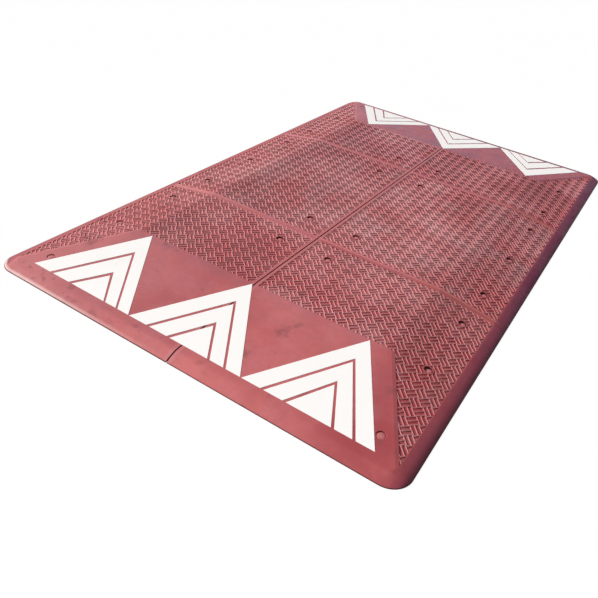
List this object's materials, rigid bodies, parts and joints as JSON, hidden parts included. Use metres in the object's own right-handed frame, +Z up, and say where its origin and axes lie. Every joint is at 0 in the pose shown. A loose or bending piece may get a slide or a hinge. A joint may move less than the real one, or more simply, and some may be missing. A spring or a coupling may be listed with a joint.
{
  "type": "modular rubber speed cushion",
  "caption": "Wide, low rubber speed cushion of dowelled red modules with ramped sides, sunken anti-slip tread fields, capped bolt holes and white arrow markings on both end ramps.",
  "frame": {"origin": "centre of the cushion's footprint, on the road surface", "axes": "+X across the lane, +Y along the direction of travel, +Z up from the road"},
  "size_m": [1.8, 3, 0.065],
  "materials": {
    "red_rubber": "moulded recycled rubber, matt with a faint sheen",
    "white_sheet": "matt white preformed road marking sheet",
    "dowel_steel": "zinc plated"
  },
  "bodies": {
    "root": {"front_left_module": "red_rubber", "front_right_module": "red_rubber", "middle_left_module": "red_rubber", "middle_right_module": "red_rubber", "rear_left_module": "red_rubber", "rear_right_module": "red_rubber", "front_left_hole_caps": "red_rubber", "front_right_hole_caps": "red_rubber", "middle_left_hole_caps": "red_rubber", "middle_right_hole_caps": "red_rubber", "rear_left_hole_caps": "red_rubber", "rear_right_hole_caps": "red_rubber", "front_left_row_dowels": "dowel_steel", "front_right_row_dowels": "dowel_steel", "rear_left_row_dowels": "dowel_steel", "rear_right_row_dowels": "dowel_steel", "front_centre_dowels": "dowel_steel", "middle_centre_dowels": "dowel_steel", "rear_centre_dowels": "dowel_steel", "front_left_outer_chevron": "white_sheet", "front_left_middle_chevron": "white_sheet", "front_left_triangle": "white_sheet", "front_centre_outer_chevron": "white_sheet", "front_centre_middle_chevron": "white_sheet", "front_centre_triangle": "white_sheet", "front_right_outer_chevron": "white_sheet", "front_right_middle_chevron": "white_sheet", "front_right_triangle": "white_sheet", "rear_left_outer_chevron": "white_sheet", "rear_left_middle_chevron": "white_sheet", "rear_left_triangle": "white_sheet", "rear_centre_outer_chevron": "white_sheet", "rear_centre_middle_chevron": "white_sheet", "rear_centre_triangle": "white_sheet", "rear_right_outer_chevron": "white_sheet", "rear_right_middle_chevron": "white_sheet", "rear_right_triangle": "white_sheet"}
  },
  "joints": []
}
